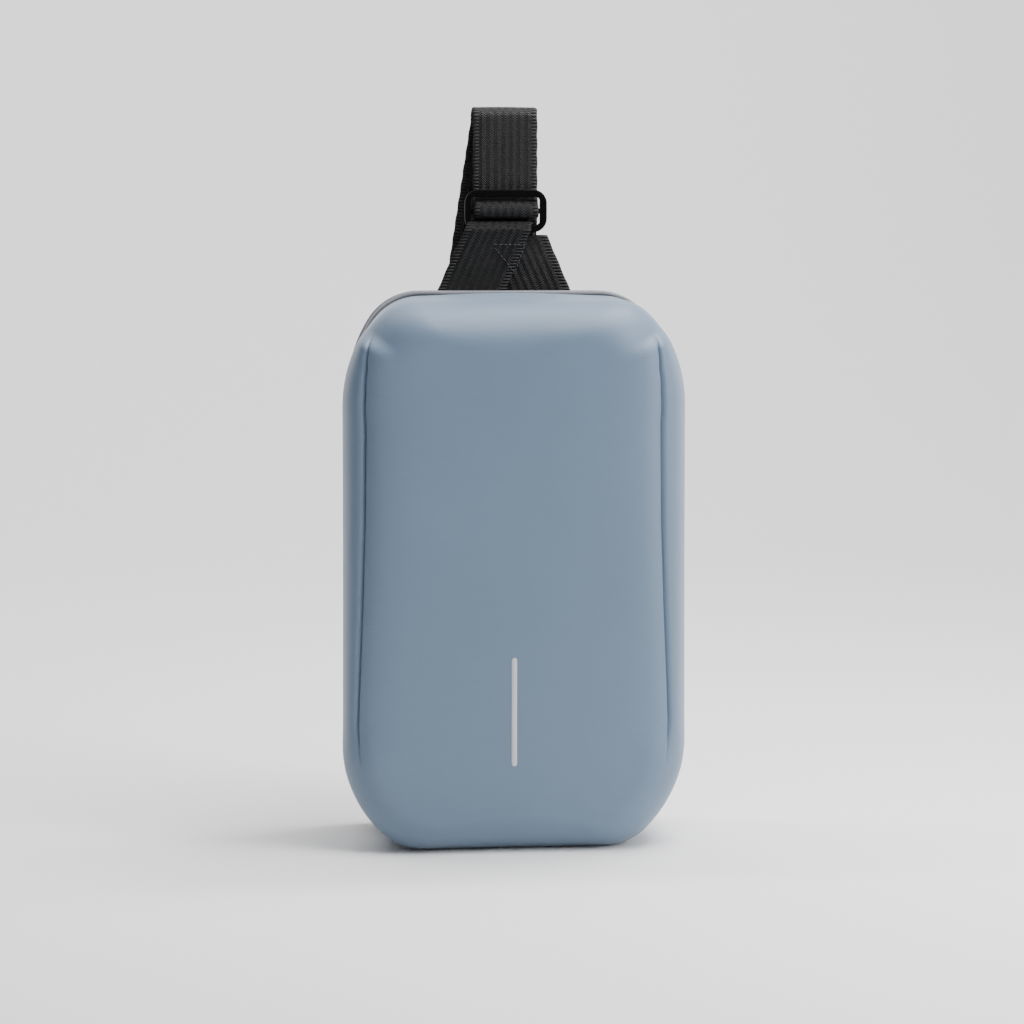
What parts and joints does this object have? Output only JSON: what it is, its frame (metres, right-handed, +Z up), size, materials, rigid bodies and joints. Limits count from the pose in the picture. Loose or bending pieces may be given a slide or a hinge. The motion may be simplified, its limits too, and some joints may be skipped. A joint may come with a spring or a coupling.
{
  "type": "sling bag",
  "caption": "Upright crossbody sling bag with a padded front, a zipped back panel hinged at its foot, a webbing yoke with a glide adjuster and a clip-on strap.",
  "frame": {"origin": "on the floor, at the middle of the flat base that the bag stands on", "axes": "+Z up to the top of the strap, the padded front faces -Y, +X to the right seen from the front"},
  "size_m": [0.192, 0.1144, 0.4126],
  "materials": {
    "shell_fabric": "grey-blue coated polyester with a fine horizontal rib and a slight sheen",
    "foam": "closed-cell foam sheet behind the fabric",
    "lining_fabric": "grey woven polyester lining",
    "piping": "near-black bound cord edging",
    "zip_tape": "dark grey coated zip tape, satin",
    "zip_coil": "black nylon coil",
    "gusset_fabric": "dark grey woven gusset fabric",
    "reflective": "light grey heat-bonded reflective film",
    "board": "thin polyethylene stiffener",
    "binding": "black grosgrain binding",
    "air_mesh": "black spacer mesh with moulded channels",
    "pocket_mesh": "black stretch mesh",
    "webbing": "black herringbone webbing",
    "elastic": "black ribbed elastic",
    "adjuster": "black moulded acetal, fine matt grain",
    "hardware": "gunmetal plated zinc die casting",
    "pull": "black rubberised zip pull"
  },
  "bodies": {
    "shell": {"front_shell": "shell_fabric", "foam_liner": "foam", "lining": "lining_fabric", "piping_front": "piping", "zip_tape_front": "zip_tape", "zip_coil_front": "zip_coil", "base_gusset": "gusset_fabric", "reflective_bar": "reflective", "base_board": "board", "tablet_sleeve": "lining_fabric", "sleeve_binding": "binding"},
    "back_panel": {"zip_tape_rear": "zip_tape", "zip_coil_rear": "zip_coil", "panel_foot_band": "gusset_fabric", "panel_lining": "lining_fabric", "panel_board": "board", "panel_foam": "foam", "back_pad": "air_mesh", "piping_back": "piping", "mesh_pocket": "pocket_mesh", "mesh_binding": "binding", "strap_yoke": "webbing", "strap_adjuster": "adjuster", "shoulder_strap": "webbing", "strap_keeper": "elastic", "swivel_eye": "hardware", "loop_ring_left": "hardware", "ring_tab_left": "webbing", "ring_tab_right": "webbing", "pocket_zip_tape": "zip_tape", "pocket_zip_coil": "zip_coil"},
    "main_slider": {"zip_slider": "hardware"},
    "main_pull": {"zip_pull": "pull"},
    "back_slider": {"pocket_slider": "hardware"},
    "back_pull": {"pocket_pull": "pull"},
    "hook": {"hook_body": "hardware", "gate_pin": "hardware"},
    "gate": {"hook_gate": "hardware"},
    "spare_ring": {"loop_ring_right": "hardware"}
  },
  "joints": [
    {"name": "panel_hinge", "type": "hinge", "parent": "shell", "child": "back_panel", "pos_m": [0, 0.031, 0.0008], "axis": [-1, 0, 0], "range_deg": [0, 90]},
    {"name": "main_zip_slide", "type": "slide", "parent": "shell", "child": "main_slider", "axis": [0, 0, 1], "range_m": [0, 0.16]},
    {"name": "main_pull_swing", "type": "hinge", "parent": "main_slider", "child": "main_pull", "pos_m": [0.0933, 0.031, 0.076], "axis": [0, -1, 0], "range_deg": [0, 170]},
    {"name": "back_zip_slide", "type": "slide", "parent": "back_panel", "child": "back_slider", "axis": [0, 0, -1], "range_m": [0, 0.115]},
    {"name": "back_pull_swing", "type": "hinge", "parent": "back_slider", "child": "back_pull", "pos_m": [0.06, 0.0527, 0.214], "axis": [1, 0, 0], "range_deg": [0, 170]},
    {"name": "hook_swivel", "type": "hinge", "parent": "back_panel", "child": "hook", "pos_m": [-0.046, 0.0586, 0.0884], "axis": [0, 0, 1], "range_deg": [-20, 20]},
    {"name": "gate_hinge", "type": "hinge", "parent": "hook", "child": "gate", "pos_m": [-0.046, 0.0529, 0.0822], "axis": [1, 0, 0], "range_deg": [0, 25], "stiffness_Nm_per_rad": 0.02, "springref_deg": -11.46},
    {"name": "spare_ring_swing", "type": "hinge", "parent": "back_panel", "child": "spare_ring", "pos_m": [0.046, 0.0586, 0.05], "axis": [-1, 0, 0], "range_deg": [0, 150]}
  ]
}
